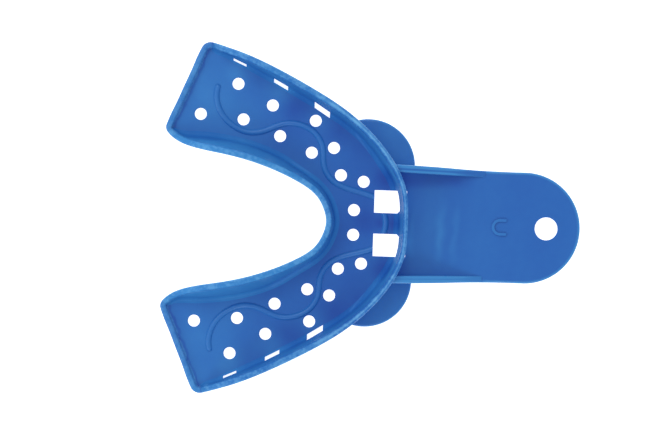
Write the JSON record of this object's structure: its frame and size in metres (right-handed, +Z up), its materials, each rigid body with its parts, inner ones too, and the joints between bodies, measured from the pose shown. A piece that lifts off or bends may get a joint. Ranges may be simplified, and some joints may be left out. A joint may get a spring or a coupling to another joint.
{
  "type": "dental impression tray",
  "caption": "Perforated lower arch dental impression tray with a flat ribbed handle, finger rests, retention bead and front windows.",
  "frame": {"origin": "centre of the bounding box in plan, on the underside of the floor and handle", "axes": "+X from the heels to the handle tip, +Y to the left arm, +Z up out of the open trough"},
  "size_m": [0.0926, 0.078, 0.0102],
  "materials": {
    "tray_body": "semi-gloss translucent blue moulding",
    "tray_rim": "frosted paler blue"
  },
  "bodies": {
    "root": {"floor_front": "tray_body", "floor_left": "tray_body", "floor_right": "tray_body", "outer_wall_front": "tray_body", "outer_wall_left": "tray_body", "outer_wall_right": "tray_body", "outer_rim_front": "tray_rim", "outer_rim_left": "tray_rim", "outer_rim_right": "tray_rim", "lingual_wall_front": "tray_body", "lingual_wall_left": "tray_body", "lingual_wall_right": "tray_body", "lingual_rim_front": "tray_rim", "lingual_rim_left": "tray_rim", "lingual_rim_right": "tray_rim", "heel_ridge_left": "tray_rim", "heel_ridge_right": "tray_rim", "retention_bead_left": "tray_body", "retention_bead_right": "tray_body", "retention_bead_bridge": "tray_body", "handle_plate": "tray_body", "handle_rib_left": "tray_body", "handle_rib_right": "tray_body", "finger_rest_left": "tray_body", "finger_rest_right": "tray_body", "size_mark": "tray_body"}
  },
  "joints": []
}
